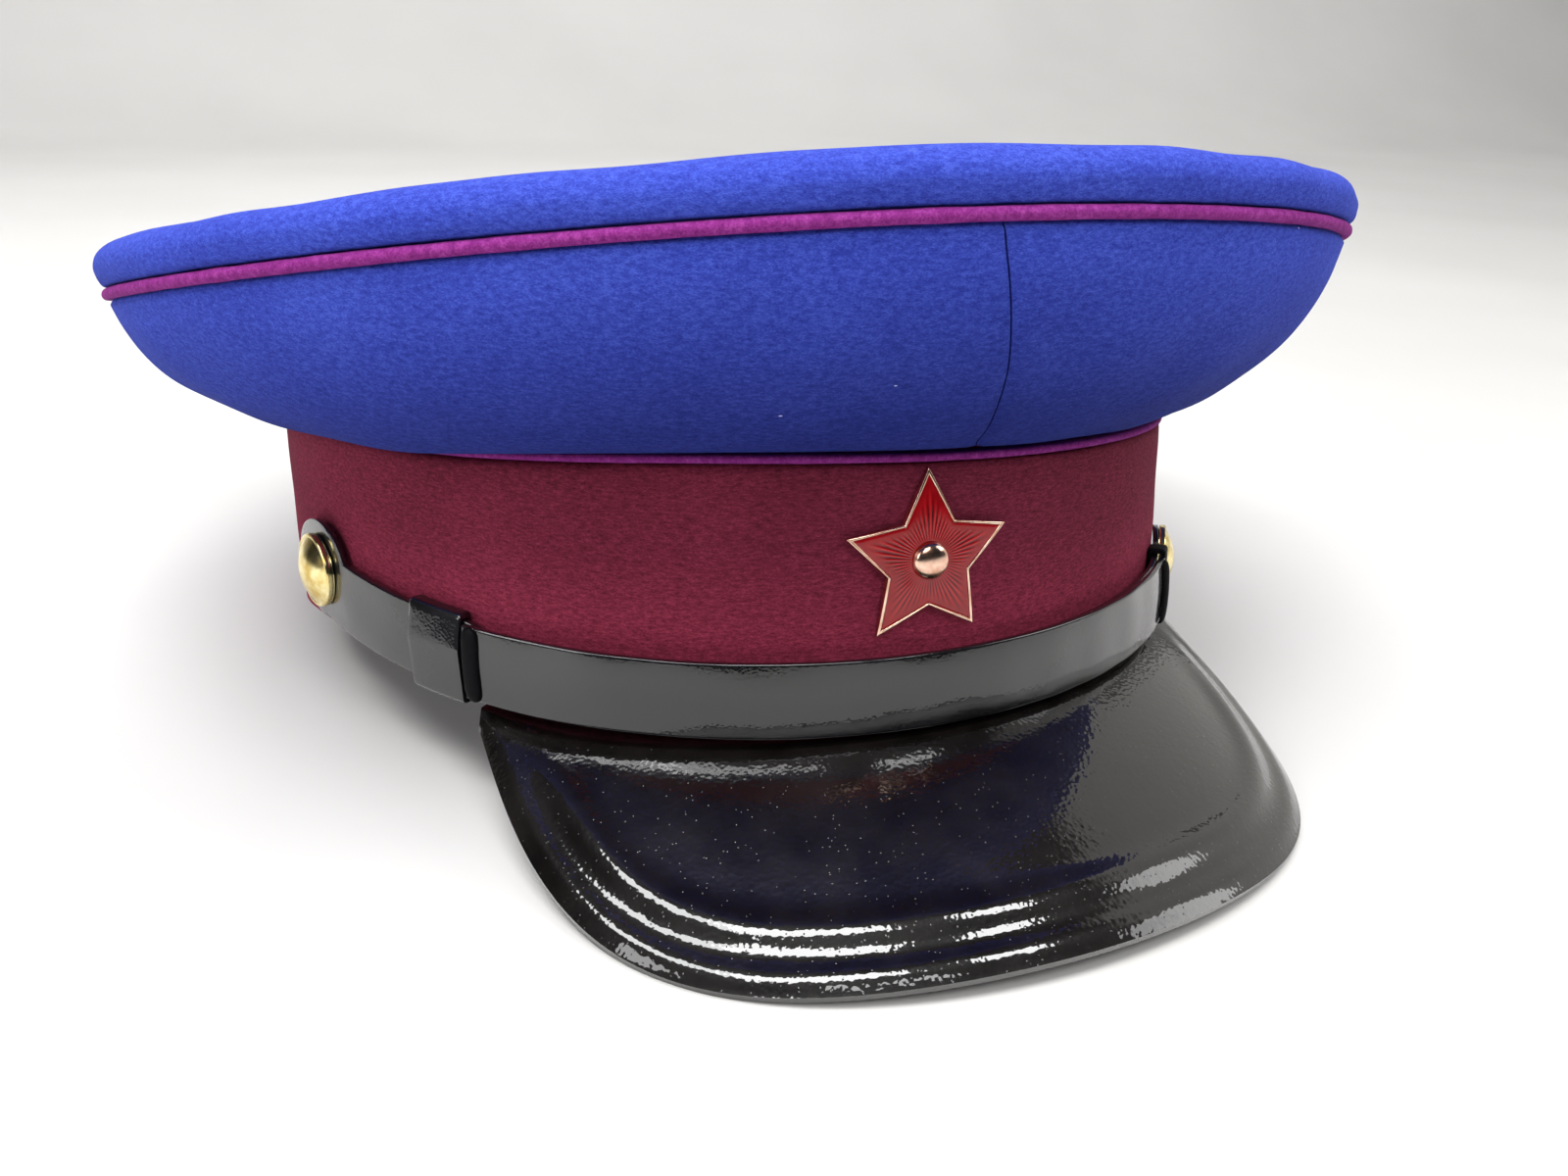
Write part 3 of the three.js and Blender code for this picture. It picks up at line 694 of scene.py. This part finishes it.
def makeInnerStrap():
    right, left = buttonSeats["right"], buttonSeats["left"]
    rightTab, leftTab = (
        math.degrees(seat["tabRadius"] * strap["tabStretch"] / bandRadius) for seat in (right, left))
    start, end = right["angle"] - rightTab * strap["tabCut"], left["angle"] + leftTab * strap["tabCut"]
    swing = 2 * crowdedSteps(strap["tabColumns"])
    middle = np.linspace(start + 2 * rightTab, end - 2 * leftTab, strap["innerColumns"])[1:-1]
    angle = np.concatenate([start + swing * rightTab, middle, end - swing[::-1] * leftTab])[:, None]
    toRight, toLeft = angle - right["angle"], left["angle"] - angle
    along = np.radians(np.minimum(toRight, toLeft)) * bandRadius
    # each tab reaches farther past its button than towards the front
    tabAlong = np.where(along < 0, along / strap["tabStretch"], along)
    tabHeights = [strapHeight(seat["angle"]) + seat["tabRise"] for seat in (right, left)]
    height = np.where(toRight < toLeft, *tabHeights)
    radius = np.where(toRight < toLeft, right["tabRadius"], left["tabRadius"])
    disc = np.sqrt(np.maximum(radius**2 - tabAlong**2, 0))
    # the inner layer is trimmed where the outer one covers it
    underOuter = np.minimum(angle - outerStrap["from"], outerStrap["to"] - angle)
    covered = np.clip(underOuter / strap["trimFade"], 0, 1)
    run, half = strapHeight(angle), strap["innerWidth"] / 2 - strap["innerTrim"] * covered
    inDisc, inStrap = disc > 0, along > 0
    low = np.minimum(np.where(inDisc, height - disc, np.inf), np.where(inStrap, run - half, np.inf))
    high = np.maximum(np.where(inDisc, height + disc, -np.inf), np.where(inStrap, run + half, -np.inf))

    def fromEdge(z):
        inTab = radius - np.hypot(tabAlong, z - height)
        inRun = np.where(inStrap, half - np.abs(z - run), -1)
        return np.maximum(np.maximum(inTab, inRun), 0)

    # a button draws its tab towards the band
    standOff = strap["standOff"] - sum(
        seat["drawnIn"] * hump(angle, seat["angle"], strap["drawnWidth"]) for seat in (right, left))
    sections = strapSections(
        angle, standOff, low, high, strap["innerCup"], fromEdge, strap["innerSeed"])
    makePiece("strapInner", sections, sweptFaces(*sections.shape[:2], False), strapPatent,
              "chin_strap")


def makeOuterStrap():
    angle = lerp(outerStrap["from"], outerStrap["to"], crowdedSteps(outerStrap["columns"]))[:, None]
    fromEnd = np.radians(np.minimum(angle - outerStrap["from"], outerStrap["to"] - angle)) * bandRadius
    run, half = strapHeight(angle), strap["outerWidth"] / 2
    sections = strapSections(
        angle, outerStandOff, run - half, run + half, strap["outerCup"],
        lambda z: np.minimum(half - np.abs(z - run), fromEnd), strap["outerSeed"])
    makePiece("strapOuter", sections, sweptFaces(*sections.shape[:2], False), strapPatent,
              "chin_strap_outer")


makeInnerStrap()
makeOuterStrap()

# The outer layer's ends are turned back on themselves and stand as dull rolls.
endRoll = {
    "width": 3.1, "height": 1.0, "rows": 44, "sides": 14, "seat": 0.06, "overlap": 0.2, "inset": 0.1,
    "cut": 0.998, "squareness": 8,
}


def makeEndRoll(name, start, way):
    halfAngle = way * math.degrees(endRoll["width"] / 2 / bandRadius)
    along = np.linspace(-endRoll["cut"], endRoll["cut"], endRoll["rows"])[:, None]
    fullness = np.sqrt(1 - along ** endRoll["squareness"])
    a = np.linspace(0, math.pi, endRoll["sides"])
    angle = start + halfAngle * (1 + fullness * np.cos(a))
    face = outerStandOff + strap["thickness"] + strap["outerCup"] * (0.5 - along**2) + endRoll["seat"]
    z = strapHeight(angle) + along * (strap["outerWidth"] / 2 + endRoll["overlap"])
    rings = bandPoints(angle, face + endRoll["height"] * fullness * np.sin(a), z)
    points = np.concatenate([rings.reshape(-1, 3), rings[[0, -1]].mean(axis=1)])
    makePiece(name, points, polarFaces(*rings.shape[:2]), edgeLeather)


makeEndRoll("strapEndRollRight", outerStrap["from"] + endRoll["inset"], 1)
makeEndRoll("strapEndRollLeft", outerStrap["to"] - endRoll["inset"], -1)

# Keepers: leather loops round the strap, hollow where it passes through. The right one is wide,
# creased along its face and leans in above the crease. The left one is a narrow dull loop.
keeper = {
    "wall": 1.0, "clearance": 0.3, "corner": 0.9, "edge": 0.3, "columns": 16, "cornerSteps": 7,
    "faceSteps": 24, "crease": 0.2,
}
keepers = {
    "right": {
        "name": "keeperRight", "from": -53.6, "to": -47, "lean": 0.75, "bulge": 0.6,
        "finish": strapPatent},
    "left": {
        "name": "keeperLeft", "from": 44.3, "to": 46.4, "lean": 0.0, "bulge": 0.0,
        "finish": edgeLeather},
}


def makeKeeper(side):
    loop = keepers[side]
    near = strap["standOff"] - keeper["clearance"] - keeper["wall"]
    far = strap["standOff"] + strap["thickness"] + keeper["clearance"] + keeper["wall"]
    tall = strap["innerWidth"] / 2 + keeper["clearance"] + keeper["wall"]
    corner = keeper["corner"]
    path, facing = [], []
    middle, reach = (near + far) / 2, (far - near) / 2
    for turn, (signOut, signRise) in enumerate([(1, -1), (1, 1), (-1, 1), (-1, -1)]):
        for a in np.radians(np.linspace(-90, 0, keeper["cornerSteps"]) + 90 * turn):
            facing.append((math.cos(a), math.sin(a)))
            path.append((middle + signOut * (reach - corner) + corner * math.cos(a),
                         signRise * (tall - corner) + corner * math.sin(a)))
        if signOut == 1 and signRise == -1:  # steps up the face, so that it can lean
            for share in np.linspace(0, 1, keeper["faceSteps"])[1:-1]:
                facing.append((1, 0))
                path.append((far, lerp(corner - tall, tall - corner, share)))
    path, facing = np.array(path)[:, None], np.array(facing)[:, None]
    rise = path[..., 1] / tall
    above = np.clip((rise - keeper["crease"]) / (1 - keeper["crease"]), 0, 1)
    below = np.clip((keeper["crease"] - rise) / (1 + keeper["crease"]), 0, 1)
    stand = loop["bulge"] * (1 - above - below) - loop["lean"] * above
    stand = np.where(path[..., 0] > middle, stand, 0)
    angle = lerp(loop["from"], loop["to"], crowdedSteps(keeper["columns"]))
    fromEnd = np.radians(np.minimum(angle - loop["from"], loop["to"] - angle)) * bandRadius
    fall = edgeFall(fromEnd, keeper["edge"])

    def loopPoints(depth):
        out = path[..., 0] - facing[..., 0] * depth + stand * (1 - depth / keeper["wall"])
        rise = path[..., 1] - facing[..., 1] * depth
        return bandPoints(angle, out, strapHeight(angle) + rise)

    outer, inner = loopPoints(fall), loopPoints(keeper["wall"] + 0 * fall)
    sections = np.concatenate([outer, inner[:, ::-1]], axis=1)
    makePiece(loop["name"], sections, sweptFaces(*sections.shape[:2], True), loop["finish"],
              "strap_keeper_" + side)


for side in keepers:
    makeKeeper(side)


# A piece seated on the band: its own +Z looks outward and +Y looks up.
def seated(points, angle, outward, height):
    x, y, normalX, normalY = ovalPlace(bandOval, angle, outward)
    sideways, upward, ahead = (-normalY, normalX, 0), (0, 0, 1), (normalX, normalY, 0)
    return np.asarray(points) @ np.array([sideways, upward, ahead]) + np.array([x, y, height])


# Buttons: stamped brass with a low wall, a rolled rim and a domed face.
button = {
    "segments": 56, "rimSteps": 34, "domeSteps": 18, "domeRadius": 6.3, "domeFoot": 1.34,
    "domeHeight": 3.5, "press": 0.2,
    # radius and height of the back, the wall and the rolled rim
    "rim": [
        (3, 0), (6.5, 0), (6.9, 0.12), (7, 0.4), (7, 1.0), (6.95, 1.25), (6.75, 1.42), (6.5, 1.42),
        (6.32, 1.34)],
}


def makeButton(side):
    rim = smoothLine(button["rim"], button["rimSteps"])
    radius = np.linspace(0.99, 0.05, button["domeSteps"]) * button["domeRadius"]
    rise = button["domeHeight"] - button["domeFoot"]
    domeRise = rise * (1 - (radius / button["domeRadius"]) ** 2)
    dome = np.stack([radius, button["domeFoot"] + domeRise], axis=1)
    profile = np.concatenate([rim, dome])
    turn = np.linspace(0, 2 * math.pi, button["segments"], endpoint=False)
    radius, z = profile[:, :1], profile[:, 1:]
    rings = np.stack(np.broadcast_arrays(radius * np.cos(turn), radius * np.sin(turn), z), axis=-1)
    points = np.concatenate([rings.reshape(-1, 3), [(0, 0, 0)], [(0, 0, button["domeHeight"])]])
    seat = buttonSeats[side]
    outward = outerStandOff - button["press"] - seat["drawnIn"]
    placed = seated(points, seat["angle"], outward, strapHeight(seat["angle"]) + seat["rise"])
    name = "buttonRight" if side == "right" else "buttonLeft"
    makePiece(name, placed, polarFaces(*rings.shape[:2]), buttonBrass, "button_" + side)


for side in buttonSeats:
    makeButton(side)

# Badge: a five-pointed star with a raised rim, red enamel on a ground of cut rays, and a plain boss.
# Its face is domed, so the arms fall back towards their tips.
badge = {
    "height": 28.8, "angle": 0.4, "standOff": 0.3, "tipRadius": 15.4, "notchShare": 0.51,
    "tipInset": 2.6, "edgeSteps": 36, "plate": 1.1, "rimWidth": 0.46, "rimHeight": 0.9,
    "bossRadius": 3.2, "bossRise": 1.6, "bossWall": 0.5, "bossRings": 10, "dome": 1.2, "fit": 0.05,
    "rays": 60, "rayDepth": 0.05, "enamelRows": 26, "enamelDrop": 0.12,
}
badgeTop = badge["plate"] + badge["rimHeight"]


def starLine(inset):
    tip = badge["tipRadius"] - inset * badge["tipInset"]
    notch = badge["tipRadius"] * badge["notchShare"] - inset
    a = np.radians(np.arange(11) * 36)
    radius = np.where(np.arange(11) % 2 == 0, tip, notch)
    corners = np.stack([-radius * np.sin(a), radius * np.cos(a)], axis=1)
    steps = np.linspace(0, 1, badge["edgeSteps"], endpoint=False)[:, None]
    return np.concatenate([lerp(corners[i], corners[i + 1], steps) for i in range(10)])


# The back is flat, and what lies higher falls back more.
def domed(line, z):
    far = np.linalg.norm(line, axis=-1) / badge["tipRadius"]
    return np.concatenate([line, (z - badge["dome"] * far**2 * z / badgeTop)[..., None]], axis=-1)


def starRing(inset, z):
    return domed(starLine(inset), z)


def roundRing(radius, z):
    line = starLine(0)
    return domed(line / np.linalg.norm(line, axis=1, keepdims=True) * radius, z)


def makeStar():
    plate, top = badge["plate"], badgeTop
    width, boss, wall = badge["rimWidth"], badge["bossRadius"], badge["bossWall"]
    bossTop = top + badge["bossRise"]
    # the rim's edges are rounded by about 0.2 mm
    rings = [starRing(0.08, 0), starRing(0, 0.2), starRing(0, top - 0.2), starRing(0.06, top - 0.06),
             starRing(0.16, top), starRing(width - 0.16, top), starRing(width - 0.06, top - 0.06),
             starRing(width, top - 0.2), starRing(width, plate), roundRing(boss, plate),
             roundRing(boss, top + wall / 2), roundRing(boss - 0.12, top + wall)]
    for a in np.radians(np.linspace(12, 84, badge["bossRings"])):  # the boss is a low dome
        rise = (badge["bossRise"] - wall) * math.sin(a)
        rings.append(roundRing((boss - 0.15) * math.cos(a), top + wall + rise))
    rings = np.array(rings)
    points = np.concatenate([rings.reshape(-1, 3), [(0, 0, 0)], [(0, 0, bossTop)]])
    placed = seated(points, badge["angle"], badge["standOff"], badge["height"])
    makePiece("starBody", placed, polarFaces(*rings.shape[:2]), starBrass, "badge_star")


def makeEnamel():
    low = badge["plate"] + badge["fit"]
    outer = starLine(badge["rimWidth"] + badge["fit"])
    inner = roundRing(badge["bossRadius"] + badge["fit"], 0)[:, :2]
    share = np.linspace(0, 1, badge["enamelRows"])
    line = lerp(outer[:, None], inner[:, None], share[None, :, None])
    turn = np.arctan2(line[..., 0], line[..., 1])
    ray = 0.5 + 0.5 * np.cos(turn * badge["rays"])
    # rays die out towards the tips and the boss, and the face turns down at its edge
    fade = np.clip(share * 3 - 0.5, 0, 1) * np.clip((1 - share) * 5, 0, 1)
    relief = badge["rayDepth"] * (ray - 1) * fade - edgeFall(share * 4, 0.3) * 0.4
    face = domed(line, badgeTop - badge["enamelDrop"] + relief)
    back = domed(line, low + 0 * ray)
    sections = np.concatenate([face, back[:, ::-1]], axis=1)
    marks = np.concatenate([lerp(0.55, ray, fade), 0 * ray], axis=1)
    placed = seated(sections.reshape(-1, 3), badge["angle"], badge["standOff"], badge["height"])
    makePiece("starEnamel", placed, sweptFaces(*sections.shape[:2], True), redEnamel,
              "badge_enamel", {"ray": marks})


makeStar()
makeEnamel()


# Stage: a smooth white table that sweeps up to a plain backdrop. Its sizes are metres.
stage = {
    "halfWidth": 3.0, "front": -2.5, "back": 1.3, "sweep": 0.6, "sweepSteps": 24, "wall": 2.2,
    "colour": "#cfcecc", "mottle": "#c9c8c6", "mottleSize": 250,  # this one in millimetres
}


def makeStage():
    bend = np.radians(np.linspace(0, 90, stage["sweepSteps"]))
    back, sweep = stage["back"], stage["sweep"]
    profile = [(stage["front"], 0)]
    profile += [(back + sweep * math.sin(a), sweep * (1 - math.cos(a))) for a in bend]
    profile.append((back + sweep, stage["wall"]))
    points = [(x, y, z) for y, z in profile for x in (-stage["halfWidth"], stage["halfWidth"])]
    faces = [(2 * i, 2 * i + 1, 2 * i + 3, 2 * i + 2) for i in range(len(profile) - 1)]
    mesh = bpy.data.meshes.new("table")
    mesh.from_pydata(points, [], faces)
    mesh.shade_smooth()
    finish, tree = newFinish("white painted board")
    place = addNode(tree, "TexCoord").outputs["Object"]
    mottle = noise(tree, place, stage["mottleSize"], 3.0)
    tone = addNode(tree, "ValToRGB", inputs={"Fac": mottle.outputs["Fac"]})
    setRamp(tone, [(0.3, linear(stage["mottle"])), (0.7, linear(stage["colour"]))])
    surface(tree, {
        "Base Color": tone.outputs["Color"], "Roughness": 0.55, "IOR": 1.45})
    mesh.materials.append(finish)
    table = bpy.data.objects.new("table", mesh)
    bpy.context.scene.collection.objects.link(table)


makeStage()

# Lights: a soft box in front, three panels overhead that streak the ridges, weak boxes on both sides
# and behind, a wash on the backdrop, and a room that is dark but for a pale wall on the right.
lights = {  # place, aim and size in metres, power in watts
    "frontBox": ((-0.08, -0.86, 0.86), (0, 0, 0.04), (0.5, 0.4), 4.8),
    "leftPanel": ((-0.24, -0.36, 1.08), (-0.24, 0.05, 0), (0.6, 0.3), 10.0),
    "leftWing": ((-0.68, -0.08, 1.08), (-0.32, 0.265, 0), (0.6, 0.27), 7.0),
    "rightPanel": ((0.4, -0.36, 1.08), (0.4, 0.05, 0), (0.25, 0.3), 4.0),
    "leftFill": ((-1.15, -0.45, 0.6), (0, 0, 0.05), (0.6, 0.6), 6.5),
    "rightFill": ((1.15, -0.55, 0.75), (0, 0, 0.05), (0.6, 0.6), 4.5),
    "backBox": ((0.1, 0.6, 1.0), (0, 0.05, 0.1), (0.9, 0.4), 5),
    "wallWash": ((0.8, 0.7, 1.5), (0.8, 1.8, 1.05), (3.2, 0.4), 32),
}
room = {
    "dark": "#1d1e22", "pale": "#efede8", "strength": 1.0, "paleWay": (0.86, 0.347, 0.375),
    "paleFrom": 0.72, "paleTo": 0.82, "topFrom": 0.76, "topTo": 0.82,
}


def makeLights():
    for name, (place, aim, size, power) in lights.items():
        lamp = bpy.data.lights.new(name, "AREA")
        lamp.shape = "RECTANGLE"
        lamp.size, lamp.size_y = size
        lamp.energy = power
        holder = bpy.data.objects.new(name, lamp)
        holder.location = place
        ray = Vector(aim) - Vector(place)
        holder.rotation_euler = ray.to_track_quat("-Z", "Y").to_euler()
        bpy.context.scene.collection.objects.link(holder)
    world = bpy.data.worlds.new("studio room")
    world.use_nodes = True
    tree = world.node_tree
    tree.nodes.clear()
    way = addNode(tree, "TexCoord").outputs["Generated"]
    side = addNode(tree, "VectorMath", {"operation": "DOT_PRODUCT"}, {0: way, 1: room["paleWay"]})
    onWall = addNode(tree, "MapRange", {"interpolation_type": "SMOOTHSTEP"}, {
        "Value": side.outputs["Value"], "From Min": room["paleFrom"], "From Max": room["paleTo"]})
    height = addNode(tree, "SeparateXYZ", inputs={"Vector": way})
    overWall = addNode(tree, "MapRange", {"interpolation_type": "SMOOTHSTEP"}, {
        "Value": height.outputs["Z"], "From Min": room["topFrom"], "From Max": room["topTo"],
        "To Min": 1.0, "To Max": 0.0})
    pale = addNode(tree, "Math", {"operation": "MULTIPLY"}, {
        0: onWall.outputs["Result"], 1: overWall.outputs["Result"]})
    tone = addNode(tree, "Mix", {"data_type": "RGBA"}, {
        0: pale.outputs[0], 6: linear(room["dark"]), 7: linear(room["pale"])})
    air = addNode(tree, "Background", inputs={"Color": tone.outputs[2], "Strength": room["strength"]})
    addNode(tree, "OutputWorld", inputs={"Surface": air.outputs[0]})
    bpy.context.scene.world = world
    bpy.context.scene.view_settings.view_transform = "Standard"


makeLights()

# Camera: close in front, a little to the wearer's right and above, given in the cap's frame.
view = {
    "place": (-97.32, -287.98, 88.6), "ahead": (0.34511, 0.89143, -0.2937),
    "up": (0.11614, 0.26996, 0.95584), "focalShare": 1350 / 1600, "sensor": 36.0, "nearest": 0.01,
}


def makeCamera():
    lens = bpy.data.cameras.new("photoCamera")
    lens.sensor_width = view["sensor"]
    lens.lens = view["focalShare"] * view["sensor"]
    lens.clip_start = view["nearest"]
    camera = bpy.data.objects.new("photoCamera", lens)
    ahead, up = Vector(capTurn @ view["ahead"]).normalized(), Vector(capTurn @ view["up"])
    right = ahead.cross(up).normalized()
    up = right.cross(ahead)
    turn = Matrix((right, up, -ahead)).transposed().to_4x4()
    place = capTurn @ (np.array(view["place"]) * mm) + capFoot
    camera.matrix_world = Matrix.Translation(place) @ turn
    bpy.context.scene.collection.objects.link(camera)
    bpy.context.scene.camera = camera


makeCamera()
print("stage, lights and camera ready")

bpy.context.view_layer.update()
